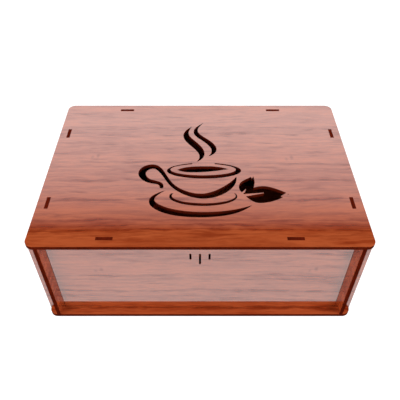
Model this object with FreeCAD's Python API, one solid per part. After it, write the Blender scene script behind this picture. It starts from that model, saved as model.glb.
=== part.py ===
"""Tea bag drawer box cut from thin wooden sheet.

A case of six interlocking panels stands on its base panel, under a top panel with the same rounded
outline.  A drawer divided into six compartments slides out of the front, between two guide strips.

Millimetres.  The origin is the middle of the underside: +X to the right, +Y to the back, +Z up.
"""

import FreeCAD, Part

import os

from FreeCAD import Vector

# Driving dimensions of the sheet and the case
SHEET = 3.0  # thickness of every panel
WIDTH = 250.0  # top and base panels, along X
DEPTH = 175.0  # top and base panels, along Y
HEIGHT = 90.5  # underside of the base to the upper face of the top
CORNER_RADIUS = 6.25  # corners of the top and base panels
WALL_INSET = 6.25  # from the panels' outline to the outer faces of the walls
TAB_LENGTH = 12.5  # tabs that pass through the top and base panels
END_TAB_X = 68.75  # front and back tabs, either side of the middle
SIDE_TAB_Y = 43.75  # side tabs, either side of the middle
RAIL_HEIGHT = 7.0  # strip of the front frame over the drawer
STILE_WIDTH = 3.0  # strip of the front frame beside the drawer
GUIDE_HEIGHT = 12.0  # guide strips that stand on the base beside the drawer

# Driving dimensions of the drawer
RUNNING_GAP = 0.3  # clearance round the drawer
BACK_GAP = 1.0  # behind the closed drawer
DRAWER_WALL_HEIGHT = 74.0  # from the underside of the drawer
DIVIDER_HEIGHT = 60.0  # above the drawer's bottom panel
DIVIDER_TAB_HEIGHT = 20.0  # tab at each end of a divider
COLUMNS = 3  # compartments along X
CORNER_CELLS = 7  # finger-joint cells up a corner of the drawer
LONG_EDGE_CELLS = 15  # finger-joint cells along the bottom's edges in X
SHORT_EDGE_CELLS = 11  # finger-joint cells along the bottom's edges in Y

# Driving dimensions of the three slits in the drawer's front
SLIT_WIDTH = 1.6
SLIT_PITCH = 7.1
SLIT_DROP = 12.3  # from the underside of the top panel to the slits' upper ends
SLIT_LENGTHS = (6.9, 12.7, 6.9)

# Steaming cup cut through the top panel.  A stroke is a smooth spine of (x, y, width) points,
# and a width of 0 at its end makes a pointed tip.
STEAM_STROKES = (
    ((-6.9, 54.0, 0.0), (-9.0, 33.3, 6.8), (-3.5, 25.9, 6.9), (1.0, 17.3, 5.5), (-3.0, 4.6, 0.0)),
    ((3.3, 59.4, 0.0), (-0.9, 39.8, 4.7), (5.7, 32.8, 4.9), (11.6, 23.5, 4.9), (7.0, 11.9, 0.0)),
)
BOWL_STROKE = (
    (-30.5, -26.1, 3.0),
    (-33.2, -21.4, 3.6),
    (-40.0, -19.3, 4.3),
    (-47.0, -7.0, 6.3),
    (-39.2, -1.3, 5.4),
    (-30.4, -9.4, 3.6),
    (-22.3, -23.7, 3.3),
    (3.2, -36.3, 5.7),
    (19.3, -29.2, 6.5),
    (29.5, -13.8, 0.0),
)
SAUCER_STROKE = (
    (-27.1, -29.9, 0.0),
    (-35.0, -45.9, 5.4),
    (-31.7, -48.6, 5.8),
    (-15.0, -54.8, 6.0),
    (6.0, -56.1, 5.3),
    (24.5, -53.4, 4.2),
    (39.9, -46.2, 0.0),
)
# A ring lies between two ellipses (x, y, half width, half height); the span (x low, x high, y low,
# y high) stays as wood, so that the ring's middle does not fall out.
RIM_RING = ((3.3, -6.4, 30.5, 9.8), (2.6, -5.1, 26.9, 7.1), (-6.4, 12.2, 0.0, 6.0))
WELL_RING = ((2.5, -36.6, 26.5, 10.5), (2.9, -35.9, 24.9, 8.3), (-26.0, 31.0, -33.3, -24.0))
# A blade lies between two smooth curves that meet in points.
TEA_BLADE = (
    ((-18.9, -5.6), (-11.2, -2.2), (-0.1, -1.1), (12.7, -1.4), (23.6, -4.7)),
    ((-18.9, -5.6), (-12.3, -8.1), (-4.9, -8.6), (9.7, -7.4), (23.6, -4.7)),
)
LARGE_LEAF = (
    ((33.9, -33.6), (38.2, -29.2), (43.1, -26.5), (49.3, -25.0), (58.0, -27.0), (69.6, -34.1)),
    ((33.9, -33.6), (38.0, -39.5), (43.5, -43.5), (49.6, -43.7), (57.5, -41.5), (69.6, -34.1)),
)
SMALL_LEAF = (
    ((32.8, -32.3), (30.9, -27.1), (31.8, -22.1), (38.6, -15.9), (43.1, -12.9)),
    ((32.8, -32.3), (39.9, -30.5), (43.7, -21.6), (43.1, -12.9)),
)
# Two veins and two nicks in the leaves' edges, which stay as wood.
LEAF_WOOD = (
    ((31.8, -34.4), (50.0, -32.5), (50.0, -33.1), (32.9, -37.3)),
    ((32.3, -32.8), (36.5, -27.9), (35.2, -32.3)),
    ((40.8, -12.0), (41.9, -16.3), (44.0, -12.0)),
    ((66.4, -39.4), (62.9, -36.4), (70.1, -30.9)),
)
STATIONS_PER_SPAN = 3  # edge points between two spine points of a stroke

# Places worked out from the driving dimensions
TOP_UNDERSIDE = HEIGHT - SHEET
WALL_X = WIDTH / 2 - WALL_INSET
WALL_Y = DEPTH / 2 - WALL_INSET
END_X = WIDTH / 2
END_Y = DEPTH / 2
LAP_Z = (SHEET + TOP_UNDERSIDE) / 2
OPENING_X = WALL_X - SHEET - STILE_WIDTH
OPENING_TOP = TOP_UNDERSIDE - RAIL_HEIGHT

DRAWER_X = OPENING_X - RUNNING_GAP
DRAWER_INNER_X = DRAWER_X - SHEET
FACE_Y = -WALL_Y
BOX_FRONT_Y = FACE_Y + SHEET
BOX_BACK_Y = WALL_Y - SHEET - BACK_GAP
INNER_FRONT_Y = BOX_FRONT_Y + SHEET
INNER_BACK_Y = BOX_BACK_Y - SHEET
DRAWER_BASE_Z = SHEET + RUNNING_GAP
DRAWER_FLOOR_Z = DRAWER_BASE_Z + SHEET
DRAWER_TOP_Z = DRAWER_BASE_Z + DRAWER_WALL_HEIGHT
FACE_TOP_Z = OPENING_TOP - RUNNING_GAP

COLUMN_WIDTH = (2 * DRAWER_INNER_X - (COLUMNS - 1) * SHEET) / COLUMNS
CROSS_DIVIDER_X = (COLUMN_WIDTH + SHEET) / 2
ROW_MIDDLE_Y = (INNER_FRONT_Y + INNER_BACK_Y) / 2
DIVIDER_LAP_Z = DRAWER_FLOOR_Z + DIVIDER_HEIGHT / 2


def block(x, y, z):
    """Solid between the low and high ends given for each axis."""
    return Part.makeBox(x[1] - x[0], y[1] - y[0], z[1] - z[0], Vector(x[0], y[0], z[0]))


def around(middle, size):
    """Low and high ends of a span centred on middle."""
    return (middle - size / 2, middle + size / 2)


def mirrored(shape):
    """The same piece on the other side of the middle plane of X."""
    return shape.mirror(Vector(0, 0, 0), Vector(1, 0, 0))


def both_sides(low, high):
    """The span from low to high and its mirror image."""
    return ((-high, -low), (low, high))


# ---- Pieces cut through a panel ----


def prism(edges, z_low, height):
    """Upright solid on a closed outline of plane edges."""
    outline = Part.Wire(Part.__sortEdges__(edges))
    outline.translate(Vector(0, 0, z_low))
    return Part.Face(outline).extrude(Vector(0, 0, height))


def stroke_edges(spine):
    """Outline of a brush stroke whose width varies along a smooth spine."""
    path = Part.BSplineCurve()
    path.interpolate([Vector(*point) for point in spine])
    count = STATIONS_PER_SPAN * (len(spine) - 1)
    step = (path.LastParameter - path.FirstParameter) / count
    left, right = [], []
    for index in range(count + 1):
        parameter = path.FirstParameter + index * step
        point = path.value(parameter)
        direction = path.tangent(parameter)[0]
        across = Vector(-direction.y, direction.x, 0).normalize() * max(point.z, 0.0) / 2
        middle = Vector(point.x, point.y, 0)
        left.append(middle + across)
        right.append(middle - across)
    edges = []
    for side in (left, right):
        curve = Part.BSplineCurve()
        curve.interpolate(side)
        edges.append(curve.toShape())
    if spine[0][2] > 0:
        edges.append(round_end(path.tangent(path.FirstParameter)[0] * -1, left[0], right[0]))
    if spine[-1][2] > 0:
        edges.append(round_end(path.tangent(path.LastParameter)[0], left[-1], right[-1]))
    return edges


def round_end(direction, left, right):
    """Half circle that closes a stroke's blunt end, bulging along direction."""
    outward = Vector(direction.x, direction.y, 0).normalize()
    crown = (left + right) * 0.5 + outward * left.distanceToPoint(right) / 2
    return Part.Arc(left, crown, right).toShape()


def ring(outer, inner, bridge):
    """Solid between two ellipses, less the bridge of wood over it."""
    discs = []
    for x, y, half_width, half_height in (outer, inner):
        edge = Part.Ellipse(Vector(x, y, 0), half_width, half_height).toShape()
        discs.append(prism([edge], TOP_UNDERSIDE, SHEET))
    wood = block(bridge[:2], bridge[2:], (TOP_UNDERSIDE, HEIGHT))
    return discs[0].cut([discs[1], wood])


def blade(upper, lower):
    """Solid between two smooth curves that share their end points."""
    edges = []
    for points in (upper, lower):
        curve = Part.BSplineCurve()
        curve.interpolate([Vector(*point, 0) for point in points])
        edges.append(curve.toShape())
    return prism(edges, TOP_UNDERSIDE, SHEET)


def wedge(corners):
    """Solid with straight sides between corners."""
    points = [Vector(*corner, 0) for corner in corners]
    edges = [Part.makeLine(low, high) for low, high in zip(points, points[1:] + points[:1])]
    return prism(edges, TOP_UNDERSIDE, SHEET)


def cup_figure():
    """Solids that cut the steaming cup, its saucer and two leaves out of the top panel."""
    strokes = [*STEAM_STROKES, BOWL_STROKE, SAUCER_STROKE]
    cuts = [prism(stroke_edges(spine), TOP_UNDERSIDE, SHEET) for spine in strokes]
    leaves = blade(*LARGE_LEAF).fuse(blade(*SMALL_LEAF))
    leaves = leaves.cut([wedge(corners) for corners in LEAF_WOOD])
    return [*cuts, ring(*RIM_RING), ring(*WELL_RING), blade(*TEA_BLADE), leaves]


def slits(y_span):
    """Three upright round-ended slits near the top of the drawer's front."""
    radius = SLIT_WIDTH / 2
    cuts = []
    for index, length in enumerate(SLIT_LENGTHS):
        x = (index - 1) * SLIT_PITCH
        high = TOP_UNDERSIDE - SLIT_DROP - radius
        low = high - length + SLIT_WIDTH
        cuts.append(block(around(x, SLIT_WIDTH), y_span, (low, high)))
        for z in (low, high):
            centre = Vector(x, y_span[0], z)
            cuts.append(Part.makeCylinder(radius, y_span[1] - y_span[0], centre, Vector(0, 1, 0)))
    return cuts


# ---- Case ----


def end_tabs(z_span, y_side):
    """Tabs of the front (y_side -1) or back (y_side 1) wall."""
    y = around(y_side * (WALL_Y - SHEET / 2), SHEET)
    return [block(around(x, TAB_LENGTH), y, z_span) for x in (-END_TAB_X, END_TAB_X)]


def side_tabs(z_span, x_side):
    """Tabs of the left (x_side -1) or right (x_side 1) wall."""
    x = around(x_side * (WALL_X - SHEET / 2), SHEET)
    return [block(x, around(y, TAB_LENGTH), z_span) for y in (-SIDE_TAB_Y, SIDE_TAB_Y)]


def rounded_sheet(z_low):
    """Level sheet with the box's full outline and rounded corners."""
    sheet = block(around(0, WIDTH), around(0, DEPTH), (z_low, z_low + SHEET))
    corners = [edge for edge in sheet.Edges if abs(edge.tangentAt(0).z) > 0.5]
    return sheet.makeFillet(CORNER_RADIUS, corners)


def top_panel():
    """Top with slots for all eight wall tabs and the steaming cup cut through it."""
    level = (TOP_UNDERSIDE, HEIGHT)
    slots = end_tabs(level, -1) + end_tabs(level, 1) + side_tabs(level, -1) + side_tabs(level, 1)
    return rounded_sheet(TOP_UNDERSIDE).cut(slots + cup_figure())


def base_panel():
    """Base with slots for the back and side walls' tabs; the drawer runs over its front edge."""
    level = (0.0, SHEET)
    slots = end_tabs(level, 1) + side_tabs(level, -1) + side_tabs(level, 1)
    return rounded_sheet(0.0).cut(slots)


def corner_laps(z_span):
    """The four places where the end walls and side walls pass through each other."""
    return [
        block(x, y, z_span)
        for x in both_sides(WALL_X - SHEET, WALL_X)
        for y in both_sides(WALL_Y - SHEET, WALL_Y)
    ]


def side_panel():
    """Right-hand wall: tabs up and down, lapped from above by the front frame and the back."""
    wall = block((WALL_X - SHEET, WALL_X), (-END_Y, END_Y), (SHEET, TOP_UNDERSIDE))
    tabs = side_tabs((0.0, SHEET), 1) + side_tabs((TOP_UNDERSIDE, HEIGHT), 1)
    return wall.fuse(tabs).cut(corner_laps((LAP_Z, TOP_UNDERSIDE))).removeSplitter()


def back_panel():
    """Back wall: tabs up and down, its ears standing out past the side walls."""
    wall = block((-END_X, END_X), (WALL_Y - SHEET, WALL_Y), (SHEET, TOP_UNDERSIDE))
    tabs = end_tabs((0.0, SHEET), 1) + end_tabs((TOP_UNDERSIDE, HEIGHT), 1)
    return wall.fuse(tabs).cut(corner_laps((SHEET, LAP_Z))).removeSplitter()


def front_frame():
    """Arch round the drawer: a top rail with two tabs, and a stile and ear at each side."""
    wall = block((-END_X, END_X), (-WALL_Y, SHEET - WALL_Y), (SHEET, TOP_UNDERSIDE))
    opening = block((-OPENING_X, OPENING_X), (-WALL_Y, SHEET - WALL_Y), (SHEET, OPENING_TOP))
    tabs = end_tabs((TOP_UNDERSIDE, HEIGHT), -1)
    return wall.fuse(tabs).cut([opening, *corner_laps((SHEET, LAP_Z))]).removeSplitter()


def drawer_guide():
    """Right-hand strip on the base, flush with the stile, that keeps the drawer straight."""
    y = WALL_Y - SHEET
    return block((OPENING_X, WALL_X - SHEET), (-y, y), (SHEET, SHEET + GUIDE_HEIGHT))


# ---- Drawer ----


def cells(low, high, count):
    """Equal finger-joint cells between low and high, as spans."""
    step = (high - low) / count
    return [(low + index * step, low + (index + 1) * step) for index in range(count)]


CORNER_Z = cells(DRAWER_BASE_Z, DRAWER_TOP_Z, CORNER_CELLS)
EDGE_X = cells(-DRAWER_INNER_X, DRAWER_INNER_X, LONG_EDGE_CELLS)
EDGE_Y = cells(INNER_FRONT_Y, INNER_BACK_Y, SHORT_EDGE_CELLS)
BOTTOM_Z = (DRAWER_BASE_Z, DRAWER_FLOOR_Z)
FRONT_WALL_Y = (BOX_FRONT_Y, INNER_FRONT_Y)
BACK_WALL_Y = (INNER_BACK_Y, BOX_BACK_Y)
DRAWER_SIDES_X = both_sides(DRAWER_INNER_X, DRAWER_X)
LONG_DIVIDER_Y = around(ROW_MIDDLE_Y, SHEET)
DIVIDER_Z = (DRAWER_FLOOR_Z, DRAWER_FLOOR_Z + DIVIDER_HEIGHT)
DIVIDER_TAB_Z = around(DIVIDER_LAP_Z, DIVIDER_TAB_HEIGHT)


def divider_tabs():
    """Ends of the dividers where they pass through the drawer's walls."""
    through_sides = [block(x, LONG_DIVIDER_Y, DIVIDER_TAB_Z) for x in DRAWER_SIDES_X]
    through_ends = [
        block(around(x, SHEET), y, DIVIDER_TAB_Z)
        for x in (-CROSS_DIVIDER_X, CROSS_DIVIDER_X)
        for y in (FRONT_WALL_Y, BACK_WALL_Y)
    ]
    return through_sides + through_ends


def drawer_front():
    """Plain front that fills the frame's opening, glued over the box's front wall."""
    y = (FACE_Y, BOX_FRONT_Y)
    return block((-DRAWER_X, DRAWER_X), y, (DRAWER_BASE_Z, FACE_TOP_Z)).cut(slits(y))


def drawer_end_wall(y_span):
    """Front or back wall of the drawer's box: odd corner cells, even bottom cells."""
    wall = block((-DRAWER_X, DRAWER_X), y_span, (DRAWER_BASE_Z, DRAWER_TOP_Z))
    corners = [block(x, y_span, z) for x in DRAWER_SIDES_X for z in CORNER_Z[0::2]]
    bottom = [block(x, y_span, BOTTOM_Z) for x in EDGE_X[1::2]]
    return wall.cut(corners + bottom + divider_tabs())


def drawer_side():
    """Right-hand wall of the drawer's box: even corner cells, even bottom cells."""
    x_span = DRAWER_SIDES_X[1]
    wall = block(x_span, (BOX_FRONT_Y, BOX_BACK_Y), (DRAWER_BASE_Z, DRAWER_TOP_Z))
    corners = [block(x_span, y, z) for y in (FRONT_WALL_Y, BACK_WALL_Y) for z in CORNER_Z[1::2]]
    bottom = [block(x_span, y, BOTTOM_Z) for y in EDGE_Y[1::2]]
    return wall.cut(corners + bottom + divider_tabs())


def drawer_bottom():
    """Bottom of the drawer's box: odd cells reach out between the walls' fingers."""
    core = block((-DRAWER_INNER_X, DRAWER_INNER_X), (INNER_FRONT_Y, INNER_BACK_Y), BOTTOM_Z)
    long_edges = [block(x, y, BOTTOM_Z) for x in EDGE_X[1::2] for y in (FRONT_WALL_Y, BACK_WALL_Y)]
    short_edges = [block(x, y, BOTTOM_Z) for y in EDGE_Y[1::2] for x in DRAWER_SIDES_X]
    return core.fuse(long_edges + short_edges).removeSplitter()


def long_divider():
    """Divider along X, lapped from above by the cross dividers."""
    sheet = block((-DRAWER_INNER_X, DRAWER_INNER_X), LONG_DIVIDER_Y, DIVIDER_Z)
    tabs = [block(x, LONG_DIVIDER_Y, DIVIDER_TAB_Z) for x in DRAWER_SIDES_X]
    laps = [
        block(around(x, SHEET), LONG_DIVIDER_Y, (DIVIDER_LAP_Z, DIVIDER_Z[1]))
        for x in (-CROSS_DIVIDER_X, CROSS_DIVIDER_X)
    ]
    return sheet.fuse(tabs).cut(laps).removeSplitter()


def cross_divider():
    """Right-hand divider along Y, lapped from below over the long divider."""
    x_span = around(CROSS_DIVIDER_X, SHEET)
    sheet = block(x_span, (INNER_FRONT_Y, INNER_BACK_Y), DIVIDER_Z)
    tabs = [block(x_span, y, DIVIDER_TAB_Z) for y in (FRONT_WALL_Y, BACK_WALL_Y)]
    lap = block(x_span, LONG_DIVIDER_Y, (DIVIDER_Z[0], DIVIDER_LAP_Z))
    return sheet.fuse(tabs).cut(lap).removeSplitter()


def build():
    """Every piece of the box by its name."""
    pieces = {
        "base_panel": base_panel(),
        "top_panel": top_panel(),
        "right_side_panel": side_panel(),
        "back_panel": back_panel(),
        "front_frame": front_frame(),
        "right_drawer_guide": drawer_guide(),
        "drawer_front": drawer_front(),
        "drawer_inner_front": drawer_end_wall(FRONT_WALL_Y).cut(slits(FRONT_WALL_Y)),
        "drawer_back": drawer_end_wall(BACK_WALL_Y),
        "drawer_right_side": drawer_side(),
        "drawer_bottom": drawer_bottom(),
        "long_divider": long_divider(),
        "right_cross_divider": cross_divider(),
    }
    for name in [name for name in pieces if "right" in name]:
        pieces[name.replace("right", "left")] = mirrored(pieces[name])
    return pieces


os.makedirs("parts", exist_ok=True)
for node, shape in build().items():
    assert shape.isValid() and len(shape.Solids) == 1, node
    shape.Solids[0].exportStep(os.path.join("parts", node + ".step"))
    box = shape.BoundBox
    print(f"{node:22s} {box.XLength:7.2f} {box.YLength:7.2f} {box.ZLength:7.2f}  {shape.Volume:10.0f}")
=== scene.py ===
"""Looks of a tea bag drawer box made of laser-cut wooden sheet.

Every panel of the case and the drawer keeps its own shape and is dressed in red-brown wood:
streaked along the grain, with small knots and fine fibres, under a mirror-like lacquer.  The faces
that the laser cut, on the outlines, tab ends, slots and the cup figure, are burnt, dark and matt.
The panels inside the box have darker wood, which is painted shade for the dark inside, and a
duller lacquer.  A dark grain line placed along the base's joint with the front frame is painted
shade in that corner.
"""

import logging
import math
from dataclasses import dataclass, replace
from enum import Enum
from typing import Any

import bpy
import numpy as np
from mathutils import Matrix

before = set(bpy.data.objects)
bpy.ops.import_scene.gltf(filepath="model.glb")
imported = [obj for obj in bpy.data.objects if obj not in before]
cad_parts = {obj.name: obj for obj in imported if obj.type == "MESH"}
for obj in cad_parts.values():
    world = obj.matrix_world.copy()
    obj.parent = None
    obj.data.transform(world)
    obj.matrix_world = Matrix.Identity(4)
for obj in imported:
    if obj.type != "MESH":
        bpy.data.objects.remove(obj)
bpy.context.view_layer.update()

LOG = logging.getLogger("tea_box")

Colour = tuple[float, float, float]
Triple = tuple[float, float, float]
Socket = bpy.types.NodeSocket

NO_SHIFT: Triple = (0.0, 0.0, 0.0)
WHITE: Colour = (1.0, 1.0, 1.0)


def srgb(red: int, green: int, blue: int) -> Colour:
    """Linear colour of an 8-bit sRGB one.

    Args:
        red: Red, from 0 to 255.
        green: Green, from 0 to 255.
        blue: Blue, from 0 to 255.

    Returns:
        The linear colour, from 0 to 1.
    """
    scaled = np.array([red, green, blue]) / 255.0
    linear = np.where(scaled <= 0.04045, scaled / 12.92, ((scaled + 0.055) / 1.055) ** 2.4)
    return tuple(float(value) for value in linear)


def grey(level: float) -> Colour:
    """Linear grey of one level.

    Args:
        level: The level, from 0 to 1.

    Returns:
        The colour.
    """
    return (level, level, level)


# ---- Node graphs ----


class NodeSketch:
    """Writes a node tree in short steps.

    A value handed to a step is a number, a tuple or another socket.
    """

    def __init__(self, tree: bpy.types.NodeTree) -> None:
        """Start on an empty tree.

        Args:
            tree: The tree to write, which loses the nodes that it has.
        """
        self.tree = tree
        self.tree.nodes.clear()

    def add(self, kind: str, **settings: Any) -> bpy.types.Node:
        """Add a node and set its properties.

        Args:
            kind: The node's type, such as "ShaderNodeMath".
            **settings: Properties of the node.

        Returns:
            The new node.
        """
        node = self.tree.nodes.new(kind)
        for name, value in settings.items():
            setattr(node, name, value)
        return node

    def feed(self, socket: Socket, value: Any) -> None:
        """Link a socket to another one, or set its value.

        Args:
            socket: The input to feed.
            value: A socket to link, or the value to set; a colour needs no alpha.
        """
        if isinstance(value, bpy.types.NodeSocket):
            self.tree.links.new(value, socket)
        elif isinstance(value, tuple) and len(value) == 3 and socket.type == "RGBA":
            socket.default_value = (*value, 1.0)
        else:
            socket.default_value = value

    def feed_all(self, node: bpy.types.Node, values: dict[str | int, Any]) -> None:
        """Feed several inputs of a node.

        Args:
            node: The node.
            values: Values by the input's name or index.
        """
        for key, value in values.items():
            self.feed(node.inputs[key], value)

    def math(self, operation: str, *values: Any) -> Socket:
        """Result of a Math node.

        Args:
            operation: The node's operation.
            *values: Its inputs in order.

        Returns:
            Socket with the result.
        """
        node = self.add("ShaderNodeMath", operation=operation)
        self.feed_all(node, dict(enumerate(values)))
        return node.outputs["Value"]

    def vector_math(self, operation: str, *values: Any, output: str = "Vector") -> Socket:
        """Result of a Vector Math node.

        Args:
            operation: The node's operation.
            *values: Its inputs in order.
            output: Name of the output to return.

        Returns:
            Socket with the result.
        """
        node = self.add("ShaderNodeVectorMath", operation=operation)
        self.feed_all(node, dict(enumerate(values)))
        return node.outputs[output]

    def split(self, vector: Socket) -> list[Socket]:
        """X, Y and Z of a vector, or red, green and blue of a colour.

        Args:
            vector: The vector or colour.

        Returns:
            The three sockets.
        """
        node = self.add("ShaderNodeSeparateXYZ")
        self.feed(node.inputs["Vector"], vector)
        return list(node.outputs)

    def join(self, x: Any, y: Any, z: Any) -> Socket:
        """Vector made of three values.

        Args:
            x: Its first value.
            y: Its second value.
            z: Its third value.

        Returns:
            Socket with the vector.
        """
        node = self.add("ShaderNodeCombineXYZ")
        self.feed_all(node, {"X": x, "Y": y, "Z": z})
        return node.outputs["Vector"]

    def ramp(
        self, value: Any, low: float, high: float, start: float = 0.0, end: float = 1.0
    ) -> Socket:
        """Smooth step from start to end as a value goes from low to high.

        Args:
            value: The value.
            low: Where the step begins; it may be above high.
            high: Where the step ends.
            start: Result at low and beyond it.
            end: Result at high and beyond it.

        Returns:
            Socket with the result.
        """
        node = self.add("ShaderNodeMapRange", interpolation_type="SMOOTHSTEP")
        self.feed_all(node, dict(enumerate((value, low, high, start, end))))
        return node.outputs["Result"]

    def blend(self, factor: Any, first: Any, second: Any, mode: str = "MIX") -> Socket:
        """Colour mixed from first to second by factor.

        Args:
            factor: Share of the second colour, from 0 to 1.
            first: The first colour.
            second: The second colour.
            mode: The node's way of blending.

        Returns:
            Socket with the colour.
        """
        node = self.add("ShaderNodeMix", data_type="RGBA", blend_type=mode)
        factor_input, first_input, second_input, colour_output = 0, 6, 7, 2
        self.feed_all(node, {factor_input: factor, first_input: first, second_input: second})
        return node.outputs[colour_output]

    def pick(self, factor: Any, first: Any, second: Any) -> Socket:
        """Number mixed from first to second by factor.

        Args:
            factor: Share of the second number, from 0 to 1.
            first: The first number.
            second: The second number.

        Returns:
            Socket with the number.
        """
        node = self.add("ShaderNodeMix")
        factor_input, first_input, second_input, number_output = 0, 2, 3, 0
        self.feed_all(node, {factor_input: factor, first_input: first, second_input: second})
        return node.outputs[number_output]

    def shader(self, kind: str, values: dict[str, Any]) -> Socket:
        """Shader with some of its inputs fed.

        Args:
            kind: The shader node's type.
            values: Values by the input's name.

        Returns:
            Socket with the shader.
        """
        node = self.add(kind)
        self.feed_all(node, values)
        return node.outputs[0]

    def either(self, factor: Any, first: Socket, second: Socket) -> Socket:
        """Shader mixed from first to second by factor.

        Args:
            factor: Share of the second shader, from 0 to 1.
            first: The first shader.
            second: The second shader.

        Returns:
            Socket with the shader.
        """
        node = self.add("ShaderNodeMixShader")
        self.feed_all(node, dict(enumerate((factor, first, second))))
        return node.outputs["Shader"]

    def finish(self, kind: str, values: dict[str, Any]) -> None:
        """Add the output node.

        Args:
            kind: The output node's type.
            values: Values by the input's name.
        """
        self.feed_all(self.add(kind), values)


def group_tree(name: str, inputs: dict[str, str], outputs: dict[str, str]) -> bpy.types.NodeTree:
    """Empty shader node group.

    Args:
        name: Name of the group.
        inputs: Socket types by name.
        outputs: Socket types by name.

    Returns:
        The group's tree with its sockets made and no nodes.
    """
    tree = bpy.data.node_groups.new(name, "ShaderNodeTree")
    for side, sockets in (("INPUT", inputs), ("OUTPUT", outputs)):
        for socket, kind in sockets.items():
            tree.interface.new_socket(socket, in_out=side, socket_type=kind)
    return tree


@dataclass(frozen=True)
class StretchedNoise:
    """Noise with its own stretch, in cells per metre along each axis of a sheet."""

    scale: Triple
    detail: float
    roughness: float
    shift: Triple = NO_SHIFT

    def write(self, sketch: NodeSketch, vector: Any) -> Socket:
        """Add the noise to a tree.

        Args:
            sketch: The tree to write.
            vector: Coordinates along, across and through the sheet, in metres.

        Returns:
            Socket with the noise, from 0 to 1.
        """
        node = sketch.add("ShaderNodeTexNoise")
        stretched = sketch.vector_math("MULTIPLY_ADD", vector, self.scale, self.shift)
        values = {"Scale": 1.0, "Detail": self.detail, "Roughness": self.roughness}
        sketch.feed_all(node, {"Vector": stretched, **values})
        return node.outputs["Fac"]


# ---- Wood and char ----


class Tone(Enum):
    """Tones of the wood, by the name of the grain group's input."""

    LIGHT = "Light"
    MIDDLE = "Middle"
    DARK = "Dark"
    KNOT = "Knot"


@dataclass(frozen=True)
class WoodTones:
    """Colours of the wood under its lacquer, and of its burnt edges."""

    light: Colour = srgb(196, 93, 50)
    middle: Colour = srgb(170, 69, 31)
    dark: Colour = srgb(128, 40, 13)
    knot: Colour = srgb(110, 34, 12)
    char: Colour = srgb(96, 26, 10)
    char_dark: Colour = srgb(72, 18, 6)

    def wood(self) -> dict[str, Colour]:
        """Colours of the wood.

        Returns:
            The colours by the name of the grain group's input.
        """
        return {tone.value: getattr(self, tone.name.lower()) for tone in Tone}


# Darker wood for the panels inside the box: painted shade for the dark inside of the box.
INNER_SHADED_TONES = WoodTones(
    light=srgb(152, 72, 38),
    middle=srgb(128, 51, 24),
    dark=srgb(88, 28, 10),
    knot=srgb(82, 25, 9),
)
INNER_GLOSS = 0.4


class Layer(Enum):
    """Noises of the grain, each finer than the last."""

    BANDS = StretchedNoise((9.0, 75.0, 60.0), 3.0, 0.55)
    STREAKS = StretchedNoise((34.0, 260.0, 200.0), 3.0, 0.6, (4.3, 1.7, 0.0))
    THREADS = StretchedNoise((60.0, 700.0, 600.0), 2.0, 0.6, (1.9, 5.2, 0.0))
    FIBRES = StretchedNoise((90.0, 2600.0, 1500.0), 2.0, 0.6)
    PORES = StretchedNoise((160.0, 3200.0, 3200.0), 1.0, 0.5, (0.0, 8.1, 0.0))


@dataclass(frozen=True)
class Tint:
    """Pull of the colour towards a tone as a layer's noise goes from start to full.

    Its share is how much of the tone there is at full.
    """

    layer: Layer
    tone: Tone
    start: float
    full: float
    share: float


@dataclass(frozen=True)
class Bend:
    """Wandering of the grain from side to side, by a noise and its reach in metres."""

    noise: StretchedNoise
    reach: float


@dataclass(frozen=True)
class Mark:
    """Mark in the veneer, pointed at its ends; all but depth are in metres.

    Its middle is along and across the tile, with half its length and half its width.  Depth goes
    from 0 to 1.  An endless mark is a line that runs through every tile.
    """

    across: float
    half_width: float
    depth: float
    along: float = 0.0
    half_length: float = math.inf


@dataclass(frozen=True)
class MarkSet:
    """Marks of one tone, and how far noise moves their outlines, in half widths."""

    tone: Tone
    raggedness: float
    marks: tuple[Mark, ...]


PALE_MARKS = (
    Mark(0.0100, 0.0045, 0.35),
    Mark(-0.0500, 0.0060, 0.60),
    Mark(-0.0860, 0.0025, 0.50),
    Mark(-0.0830, 0.0045, 0.95, -0.090, 0.036),
)
GROWTH_LINES = (
    Mark(0.0700, 0.0080, 0.22),
    Mark(0.0520, 0.0013, 0.50),
    Mark(0.0450, 0.0100, 0.20),
    Mark(0.0430, 0.0018, 0.40),
    Mark(0.0300, 0.0018, 0.45),
    Mark(0.0240, 0.0030, 0.25),
    Mark(0.0150, 0.0010, 0.30),
    Mark(0.0030, 0.0018, 0.45),
    Mark(-0.0020, 0.0022, 0.35),
    Mark(-0.0060, 0.0010, 0.25),
    Mark(-0.0175, 0.0020, 0.60),
    Mark(-0.0245, 0.0012, 0.30),
    Mark(-0.0300, 0.0026, 0.30),
    # This line also falls along the base's joint with the front frame, where the base's shift puts
    # it as painted shade in that corner.
    Mark(-0.0405, 0.0018, 0.75),
    Mark(-0.0555, 0.0022, 0.30),
    Mark(-0.0625, 0.0012, 0.65),
    Mark(-0.0685, 0.0050, 0.25),
    Mark(-0.0675, 0.0016, 0.75),
    Mark(-0.0715, 0.0015, 0.75),
    Mark(-0.0765, 0.0012, 0.30),
)
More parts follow.
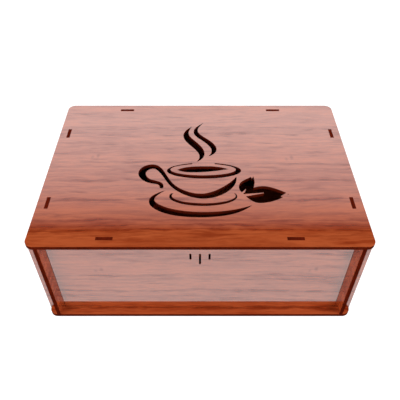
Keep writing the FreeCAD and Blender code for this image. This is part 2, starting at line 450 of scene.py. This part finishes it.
FLECKS = (
    Mark(0.0770, 0.0014, 0.5, 0.040, 0.004),
    Mark(0.0695, 0.0015, 0.5, 0.022, 0.007),
    Mark(0.0513, 0.0012, 0.6, 0.016, 0.015),
    Mark(0.0412, 0.0018, 0.7, 0.078, 0.013),
    Mark(0.0405, 0.0020, 0.7, -0.026, 0.011),
    Mark(0.0410, 0.0020, 0.7, 0.036, 0.020),
    Mark(0.0270, 0.0014, 0.5, -0.062, 0.016),
    Mark(0.0010, 0.0013, 0.5, 0.040, 0.010),
    Mark(-0.0182, 0.0014, 0.6, 0.056, 0.008),
    Mark(-0.0174, 0.0014, 0.5, -0.064, 0.008),
    Mark(-0.0186, 0.0018, 0.6, -0.021, 0.009),
    Mark(-0.0195, 0.0013, 0.4, 0.006, 0.011),
    Mark(-0.0700, 0.0017, 0.6, 0.050, 0.012),
    Mark(-0.0830, 0.0030, 0.3, -0.010, 0.040),
)
PIN_KNOTS = (
    Mark(0.0113, 0.0030, 0.55, -0.0865, 0.0016),
    Mark(0.0092, 0.0020, 0.40, -0.0912, 0.0014),
)


@dataclass(frozen=True)
class GrainPattern:
    """Streaked wood grain as a node group, which repeats every tile, in metres.

    A mark is gone at mark_edge and full at mark_core, in half widths from its middle, and noise
    moves both as it leaves ragged_level.  Fibres shade the wood from fibre_floor up by
    fibre_contrast.  As the colour's red goes through sheen_reds, the sheen goes through sheens.
    """

    name: str = "wood_grain"
    tile: float = 0.164
    bends: tuple[Bend, ...] = (
        Bend(StretchedNoise((11.0, 24.0, 30.0), 1.0, 0.4), 0.008),
        Bend(StretchedNoise((48.0, 70.0, 60.0), 1.0, 0.4), 0.0022),
    )
    tints: tuple[Tint, ...] = (
        Tint(Layer.BANDS, Tone.MIDDLE, 0.34, 0.64, 1.00),
        Tint(Layer.STREAKS, Tone.LIGHT, 0.48, 0.30, 0.60),
        Tint(Layer.STREAKS, Tone.DARK, 0.50, 0.70, 0.62),
        Tint(Layer.THREADS, Tone.LIGHT, 0.50, 0.26, 0.60),
        Tint(Layer.THREADS, Tone.DARK, 0.46, 0.78, 0.50),
    )
    mark_sets: tuple[MarkSet, ...] = (
        MarkSet(Tone.LIGHT, 1.9, PALE_MARKS),
        MarkSet(Tone.DARK, 3.8, (*GROWTH_LINES, *FLECKS)),
        MarkSet(Tone.KNOT, 0.8, PIN_KNOTS),
    )
    ragged: StretchedNoise = StretchedNoise((70.0, 230.0, 60.0), 2.0, 0.55)
    ragged_level: float = 0.42
    mark_edge: float = 1.45
    mark_core: float = 0.2
    fibre_levels: tuple[float, float] = (0.25, 0.75)
    fibre_contrast: float = 0.18
    fibre_floor: float = 0.91
    pore_tint: Tint = Tint(Layer.PORES, Tone.DARK, 0.66, 0.74, 0.35)
    pore_depth: float = 0.4
    sheen_reds: tuple[float, float] = (0.17, 0.42)
    sheens: tuple[float, float] = (0.66, 1.00)

    def build(self) -> bpy.types.NodeTree:
        """Make the group.

        The cross coordinate wanders by low noise, so that all streaks bend together.  Broad bands,
        streaks and threads, with pale glints between them, tint the wood in turn.  Over them lie
        the placed marks, repeated at every tile, and then the fibres and the pores.  The sheen is
        how well the lacquer mirrors there: less over dark wood.

        Returns:
            Group with inputs Vector, Light, Middle, Dark and Knot, and outputs Color, Height and
            Sheen.
        """
        tree = group_tree(
            self.name,
            {"Vector": "NodeSocketVector", **{tone.value: "NodeSocketColor" for tone in Tone}},
            {"Color": "NodeSocketColor", "Height": "NodeSocketFloat", "Sheen": "NodeSocketFloat"},
        )
        sketch = NodeSketch(tree)
        given = sketch.add("NodeGroupInput").outputs
        bent = self.bent_grain(sketch, given["Vector"])
        noises = {layer: layer.value.write(sketch, bent) for layer in Layer}

        colour = given[Tone.LIGHT.value]
        for tint in self.tints:
            colour = sketch.blend(self.pull(sketch, noises, tint), colour, given[tint.tone.value])
        for mark_set in self.mark_sets:
            strength = self.placed(sketch, bent, mark_set)
            colour = sketch.blend(strength, colour, given[mark_set.tone.value])
        fibres = sketch.ramp(noises[Layer.FIBRES], *self.fibre_levels)
        fine = sketch.math("MULTIPLY_ADD", fibres, self.fibre_contrast, self.fibre_floor)
        colour = sketch.blend(1.0, colour, sketch.join(fine, fine, fine), "MULTIPLY")
        pores = self.pull(sketch, noises, self.pore_tint)
        colour = sketch.blend(pores, colour, given[self.pore_tint.tone.value])

        sunk = sketch.math("MULTIPLY", pores, self.pore_depth)
        height = sketch.math("SUBTRACT", fine, sunk)
        sheen = sketch.ramp(sketch.split(colour)[0], *self.sheen_reds, *self.sheens)
        sketch.finish("NodeGroupOutput", {"Color": colour, "Height": height, "Sheen": sheen})
        return tree

    def bent_grain(self, sketch: NodeSketch, vector: Any) -> Socket:
        """Grain coordinates whose cross part wanders.

        Args:
            sketch: The tree to write.
            vector: Coordinates along, across and through the sheet.

        Returns:
            Socket with the bent coordinates.
        """
        along, across, through = sketch.split(vector)
        for bend in self.bends:
            noise = bend.noise.write(sketch, vector)
            drift = sketch.math("MULTIPLY_ADD", noise, bend.reach, -bend.reach / 2)
            across = sketch.math("ADD", across, drift)
        return sketch.join(along, across, through)

    def pull(self, sketch: NodeSketch, noises: dict[Layer, Socket], tint: Tint) -> Socket:
        """Share of a tint's tone at each place.

        Args:
            sketch: The tree to write.
            noises: Sockets with the layers' noises.
            tint: The tint.

        Returns:
            Socket with the share, from 0 to 1.
        """
        reach = sketch.ramp(noises[tint.layer], tint.start, tint.full)
        return sketch.math("MULTIPLY", reach, tint.share)

    def placed(self, sketch: NodeSketch, vector: Any, mark_set: MarkSet) -> Socket:
        """Strength of placed marks.

        A mark's reach is the distance from its middle, in half lengths and half widths, inside the
        nearest tile.  Noise moves the reach up and down, so that an outline is ragged and a long
        line breaks up.  The strength falls smoothly as the reach grows, and the strongest mark
        wins.

        Args:
            sketch: The tree to write.
            vector: Coordinates along, across and through the sheet.
            mark_set: The marks, and how ragged they are.

        Returns:
            Socket with the strength, from 0 to 1.
        """
        noise = self.ragged.write(sketch, vector)
        lowest = -self.ragged_level * mark_set.raggedness
        push = sketch.math("MULTIPLY_ADD", noise, mark_set.raggedness, lowest)
        half = self.tile / 2
        strength: Any = 0.0
        for mark in mark_set.marks:
            middle = (mark.along, mark.across, 0.0)
            offset = sketch.vector_math("SUBTRACT", vector, middle)
            tiled = sketch.vector_math("WRAP", offset, (half,) * 3, (-half,) * 3)
            scale = (1.0 / mark.half_length, 1.0 / mark.half_width, 0.0)
            halves = sketch.vector_math("MULTIPLY_ADD", tiled, scale, NO_SHIFT)
            reach = sketch.vector_math("LENGTH", halves, output="Value")
            ragged = sketch.math("ADD", reach, push)
            there = sketch.ramp(ragged, self.mark_edge, self.mark_core, 0.0, mark.depth)
            strength = sketch.math("MAXIMUM", strength, there)
        return strength


@dataclass(frozen=True)
class CharPattern:
    """Burnt cut faces as a node group: fine marks of the laser across the sheet's thickness."""

    name: str = "burnt_edge"
    marks: StretchedNoise = StretchedNoise((1900.0, 1900.0, 60.0), 1.0, 0.5)
    soot: StretchedNoise = StretchedNoise((90.0, 90.0, 500.0), 2.0, 0.6)
    marks_share: float = 0.5
    shade_levels: tuple[float, float] = (0.35, 0.65)

    def build(self) -> bpy.types.NodeTree:
        """Make the group.

        Marks are noise that is drawn out through the thickness; soot is a softer cloudy noise.

        Returns:
            Group with inputs Vector, Char and Char Dark, and outputs Color and Height.
        """
        colours = dict.fromkeys(("Char", "Char Dark"), "NodeSocketColor")
        tree = group_tree(
            self.name,
            {"Vector": "NodeSocketVector", **colours},
            {"Color": "NodeSocketColor", "Height": "NodeSocketFloat"},
        )
        sketch = NodeSketch(tree)
        given = sketch.add("NodeGroupInput").outputs
        marks = self.marks.write(sketch, given["Vector"])
        soot = self.soot.write(sketch, given["Vector"])
        scored = sketch.math("MULTIPLY", marks, self.marks_share)
        sooty = sketch.math("MULTIPLY", soot, 1.0 - self.marks_share)
        shade = sketch.ramp(sketch.math("ADD", scored, sooty), *self.shade_levels)
        colour = sketch.blend(shade, given["Char"], given["Char Dark"])
        sketch.finish("NodeGroupOutput", {"Color": colour, "Height": marks})
        return tree


# ---- Finishes ----


class Lie(Enum):
    """Which way a sheet lies: the axes along and across its grain and through its thickness."""

    LEVEL = (0, 1, 2)
    FACING_FRONT = (0, 2, 1)
    FACING_SIDE = (1, 2, 0)


@dataclass(frozen=True)
class LacqueredSheet:
    """Finish of a laser-cut sheet: lacquered wood on its two faces, char on every cut face.

    The gloss is the coat's weight on the wood, and the echo is how much of it is left in a mirrored
    picture.  A face is a cut one where its normal leans less than cut_lean out of the sheet.
    """

    grain: bpy.types.NodeTree
    burnt: bpy.types.NodeTree
    tones: WoodTones = WoodTones()
    gloss: float = 1.0
    lacquer_ior: float = 3.45
    echo: float = 0.50
    lacquer_roughness: float = 0.03
    wood_roughness: float = 0.55
    char_roughness: float = 0.9
    bump_distance: float = 0.0002
    bump_strength: float = 0.25
    cut_lean: float = 0.5

    def material(self, name: str, lie: Lie, shift: Triple) -> bpy.types.Material:
        """Make the material of one sheet.

        Args:
            name: Name of the material.
            lie: Which way the sheet lies.
            shift: Place of the pattern on this sheet, in metres along, across and through it.

        Returns:
            The material.
        """
        made = bpy.data.materials.new(name)
        made.use_nodes = True
        sketch = NodeSketch(made.node_tree)
        source = sketch.add("ShaderNodeTexCoord").outputs
        place = sketch.split(source["Object"])
        moved = sketch.add("ShaderNodeMapping")
        sheet = sketch.join(*(place[axis] for axis in lie.value))
        sketch.feed_all(moved, {"Vector": sheet, "Location": shift})
        wood, char = self.patterns(sketch, moved.outputs["Vector"])

        through = sketch.split(source["Normal"])[lie.value[2]]
        cut = sketch.math("LESS_THAN", sketch.math("ABSOLUTE", through), self.cut_lean)
        rougher = self.char_roughness - self.wood_roughness
        values = {
            "Base Color": sketch.blend(cut, wood["Color"], char["Color"]),
            "Roughness": sketch.math("MULTIPLY_ADD", cut, rougher, self.wood_roughness),
            "Specular IOR Level": 0.0,
            "Coat Weight": self.coat(sketch, cut, wood["Sheen"]),
            "Coat IOR": self.lacquer_ior,
            "Coat Roughness": self.lacquer_roughness,
            "Normal": self.relief(sketch, sketch.pick(cut, wood["Height"], char["Height"])),
        }
        shader = sketch.shader("ShaderNodeBsdfPrincipled", values)
        sketch.finish("ShaderNodeOutputMaterial", {"Surface": shader})
        return made

    def patterns(self, sketch: NodeSketch, vector: Socket) -> tuple[Any, Any]:
        """Add the grain and the char.

        Args:
            sketch: The material's tree.
            vector: Coordinates along, across and through the sheet.

        Returns:
            The outputs of the grain's node and of the char's node.
        """
        wood = sketch.add("ShaderNodeGroup", node_tree=self.grain)
        char = sketch.add("ShaderNodeGroup", node_tree=self.burnt)
        sketch.feed_all(wood, {"Vector": vector, **self.tones.wood()})
        burnt = {"Char": self.tones.char, "Char Dark": self.tones.char_dark}
        sketch.feed_all(char, {"Vector": vector, **burnt})
        return wood.outputs, char.outputs

    def coat(self, sketch: NodeSketch, cut: Socket, sheen: Socket) -> Socket:
        """Weight of the lacquer: none on cut faces, and less in a mirrored picture of the box.

        Args:
            sketch: The material's tree.
            cut: 1 on a cut face and 0 elsewhere.
            sheen: How well the lacquer mirrors at each place of the grain.

        Returns:
            Socket with the weight.
        """
        lacquered = sketch.math("MULTIPLY_ADD", cut, -self.gloss, self.gloss)
        mirrored = sketch.add("ShaderNodeLightPath").outputs["Is Glossy Ray"]
        fade = sketch.math("MULTIPLY_ADD", mirrored, self.echo - 1.0, 1.0)
        return sketch.math("MULTIPLY", lacquered, sketch.math("MULTIPLY", sheen, fade))

    def relief(self, sketch: NodeSketch, height: Socket) -> Socket:
        """Normal of the fine relief.

        Args:
            sketch: The material's tree.
            height: The relief's height, from 0 to 1.

        Returns:
            Socket with the normal.
        """
        bump = sketch.add("ShaderNodeBump")
        values = {"Strength": self.bump_strength, "Distance": self.bump_distance}
        sketch.feed_all(bump, {**values, "Height": height})
        return bump.outputs["Normal"]


# ---- The box ----


@dataclass(frozen=True)
class Panel:
    """One sheet of the box: its node, how it lies, where its pattern starts, and if it shows."""

    node: str
    lie: Lie
    shift: Triple
    outside: bool = True


@dataclass
class Assembly:
    """Panels that move together, with a finish outside and one of darker, painted-shade wood
    inside.
    """

    outer: LacqueredSheet
    inner: LacqueredSheet

    def panels(self) -> list[Panel]:
        """List the panels of this assembly.

        Returns:
            The panels.
        """
        raise NotImplementedError

    def dress(self, nodes: dict[str, bpy.types.Object]) -> None:
        """Give every panel its own cut of the wood, darker as painted shade on the panels inside.

        Args:
            nodes: Objects of the loaded frame by node name.
        """
        for panel in self.panels():
            piece = nodes[panel.node]
            finish = self.outer if panel.outside else self.inner
            material = finish.material(panel.node + "_wood", panel.lie, panel.shift)
            piece.data.materials.clear()
            piece.data.materials.append(material)
            LOG.info("%s: %s", panel.node, panel.lie.name.lower())


FRONT_SHIFT: Triple = (-0.0112, -0.0450, 0.0)


class Case(Assembly):
    """The glued case: two level panels, four walls and two guide strips."""

    def panels(self) -> list[Panel]:
        """List the panels of the case.

        Returns:
            The panels.
        """
        return [
            Panel("top_panel", Lie.LEVEL, NO_SHIFT),
            # Shifted so that the growth line at -0.0405 lies along the joint with the front frame:
            # painted shade in that corner.
            Panel("base_panel", Lie.LEVEL, (0.0, 0.0405, 0.0)),
            Panel("front_frame", Lie.FACING_FRONT, FRONT_SHIFT),
            Panel("back_panel", Lie.FACING_FRONT, (3.30, 0.81, 0.0)),
            Panel("left_side_panel", Lie.FACING_SIDE, (4.20, 0.37, 0.0)),
            Panel("right_side_panel", Lie.FACING_SIDE, (5.70, 0.49, 0.0)),
            Panel("left_drawer_guide", Lie.FACING_SIDE, (6.10, 0.62, 0.0), outside=False),
            Panel("right_drawer_guide", Lie.FACING_SIDE, (6.80, 0.74, 0.0), outside=False),
        ]


class Drawer(Assembly):
    """The drawer: a plain front over a finger-jointed box with three dividers."""

    def panels(self) -> list[Panel]:
        """List the panels of the drawer, whose front matches the wood of the frame round it.

        Returns:
            The panels.
        """
        return [
            Panel("drawer_front", Lie.FACING_FRONT, FRONT_SHIFT),
            Panel("drawer_inner_front", Lie.FACING_FRONT, (7.30, 0.15, 0.0), outside=False),
            Panel("drawer_back", Lie.FACING_FRONT, (8.20, 0.94, 0.0), outside=False),
            Panel("drawer_left_side", Lie.FACING_SIDE, (9.10, 0.28, 0.0), outside=False),
            Panel("drawer_right_side", Lie.FACING_SIDE, (9.90, 0.66, 0.0), outside=False),
            Panel("drawer_bottom", Lie.LEVEL, (10.60, 0.43, 0.0), outside=False),
            Panel("long_divider", Lie.FACING_FRONT, (11.50, 0.52, 0.0), outside=False),
            Panel("left_cross_divider", Lie.FACING_SIDE, (12.20, 0.33, 0.0), outside=False),
            Panel("right_cross_divider", Lie.FACING_SIDE, (13.10, 0.87, 0.0), outside=False),
        ]


# ---- Studio ----


@dataclass(frozen=True)
class Studio:
    """Pale floor, soft light and the camera.

    The floor's albedo is for the light that it gives back, its glow and share are what the camera
    sees unlit and in full light, and faces that mirror it see one brightness of their own.
    Energies are in watts, places in metres, and the pitch is in degrees below level.
    """

    floor_half: float = 3.0
    floor_albedo: float = 0.30
    floor_glow: float = 0.86
    floor_share: float = 0.35
    floor_mirrored: float = 0.75
    sky_strength: float = 0.42
    lamp_size: float = 0.40
    key_energy: float = 3.25
    key_place: Triple = (0.60, -0.36, 0.30)
    back_energy: float = 1.20
    back_place: Triple = (0.60, 0.80, 0.20)
    top_energy: float = 22.0
    top_place: Triple = (0.0, 0.50, 2.60)
    camera_place: Triple = (0.0, -0.30441, 0.35425)
    camera_pitch: float = 45.0
    camera_lens: float = 43.456
    # The white walls that glossy faces mirror stand square round the box.  They start as bright as
    # the mirrored floor and fade out 36 to 49 degrees above the horizon: sine of the slope up to a
    # place on them, and brightness there.
    wall_fade: tuple[tuple[float, float], ...] = (
        (0.010, 0.75),
        (0.300, 1.00),
        (0.585, 1.00),
        (0.645, 0.77),
        (0.691, 0.55),
        (0.717, 0.33),
        (0.738, 0.15),
        (0.750, 0.00),
    )

    def build(self) -> None:
        """Make the floor, the world, the lamps and the camera."""
        self.floor()
        self.world()
        self.lamps()
        self.camera()

    def floor(self) -> None:
        """White floor that keeps the object's shadow."""
        half = self.floor_half
        corners = [(-half, -half, 0.0), (half, -half, 0.0), (half, half, 0.0), (-half, half, 0.0)]
        mesh = bpy.data.meshes.new("floor")
        mesh.from_pydata(corners, [], [(0, 1, 2, 3)])
        ground = bpy.data.objects.new("floor", mesh)
        bpy.context.scene.collection.objects.link(ground)
        material = bpy.data.materials.new("pale_floor")
        material.use_nodes = True
        sketch = NodeSketch(material.node_tree)
        path = sketch.add("ShaderNodeLightPath").outputs
        plain = sketch.shader("ShaderNodeBsdfDiffuse", {"Color": grey(self.floor_albedo)})
        mirrored = sketch.shader("ShaderNodeEmission", {"Strength": self.floor_mirrored})
        unseen = sketch.either(path["Is Glossy Ray"], plain, mirrored)
        shadowed = sketch.shader("ShaderNodeBsdfDiffuse", {"Color": grey(self.floor_share)})
        glow = sketch.shader("ShaderNodeEmission", {"Strength": self.floor_glow})
        lit = sketch.add("ShaderNodeAddShader")
        sketch.feed_all(lit, {0: shadowed, 1: glow})
        surface = sketch.either(path["Is Camera Ray"], unseen, lit.outputs["Shader"])
        sketch.finish("ShaderNodeOutputMaterial", {"Surface": surface})
        mesh.materials.append(material)

    def world(self) -> None:
        """White to the camera, four white walls under a dark ceiling to glossy faces, else soft."""
        world = bpy.data.worlds.new("studio")
        bpy.context.scene.world = world
        world.use_nodes = True
        sketch = NodeSketch(world.node_tree)
        path = sketch.add("ShaderNodeLightPath").outputs
        x, y, z = sketch.split(sketch.add("ShaderNodeTexCoord").outputs["Generated"])
        level = sketch.math("MAXIMUM", sketch.math("ABSOLUTE", x), sketch.math("ABSOLUTE", y))
        slope = sketch.math("SINE", sketch.math("ARCTAN2", z, level))
        kind = "ShaderNodeBackground"
        light = sketch.shader(kind, {"Color": WHITE, "Strength": self.sky_strength})
        mirrored = sketch.shader(kind, {"Color": self.walls(sketch, slope)})
        white = sketch.shader(kind, {"Color": WHITE})
        unseen = sketch.either(path["Is Glossy Ray"], light, mirrored)
        surface = sketch.either(path["Is Camera Ray"], unseen, white)
        sketch.finish("ShaderNodeOutputWorld", {"Surface": surface})

    def walls(self, sketch: NodeSketch, slope: Socket) -> Socket:
        """Brightness of the white walls.

        Args:
            sketch: The world's tree.
            slope: Sine of the slope up to a place on the walls.

        Returns:
            Socket with the brightness as a grey.
        """
        wall = sketch.add("ShaderNodeValToRGB")
        points = wall.color_ramp.elements
        points.remove(points[1])
        points[0].position = 0.0
        for place, brightness in self.wall_fade:
            points.new(place).color = (*grey(brightness), 1.0)
        points.remove(points[0])
        sketch.feed(wall.inputs["Fac"], slope)
        return wall.outputs["Color"]

    def lamps(self) -> None:
        """Four soft lamps low round the box, the brighter pair in front, and one high above."""
        for name, energy, (x, y, z) in (
            ("key", self.key_energy, self.key_place),
            ("back", self.back_energy, self.back_place),
        ):
            self.lamp(name + "_left", energy, (-x, y, z))
            self.lamp(name + "_right", energy, (x, y, z))
        self.lamp("top", self.top_energy, self.top_place)

    def lamp(self, name: str, energy: float, place: Triple) -> None:
        """Hang a square lamp that faces the box.

        Args:
            name: Name of the lamp.
            energy: Its power, in watts.
            place: Where it hangs.
        """
        data = bpy.data.lights.new(name, "AREA")
        data.energy = energy
        data.size = self.lamp_size
        lamp = bpy.data.objects.new(name, data)
        lamp.location = place
        x, y, z = place
        lamp.rotation_euler = (math.atan2(math.hypot(x, y), z), 0.0, math.atan2(x, -y))
        lamp.visible_glossy = False
        lamp.visible_camera = False
        bpy.context.scene.collection.objects.link(lamp)

    def camera(self) -> None:
        """Camera in front of the box, looking down on it."""
        data = bpy.data.cameras.new("camera")
        data.lens = self.camera_lens
        camera = bpy.data.objects.new("camera", data)
        camera.location = self.camera_place
        camera.rotation_euler = (math.radians(90.0 - self.camera_pitch), 0.0, 0.0)
        bpy.context.scene.collection.objects.link(camera)
        bpy.context.scene.camera = camera


def main() -> None:
    """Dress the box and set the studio."""
    logging.basicConfig(level=logging.INFO, format="%(name)s: %(message)s")
    outer = LacqueredSheet(GrainPattern().build(), CharPattern().build())
    # The inside finish: the darker wood of painted shade, under a duller lacquer.
    inner = replace(outer, tones=INNER_SHADED_TONES, gloss=INNER_GLOSS)
    for assembly in (Case(outer, inner), Drawer(outer, inner)):
        assembly.dress(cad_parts)
    Studio().build()
    bpy.context.scene.view_settings.view_transform = "Standard"


if __name__ == "__main__":
    main()
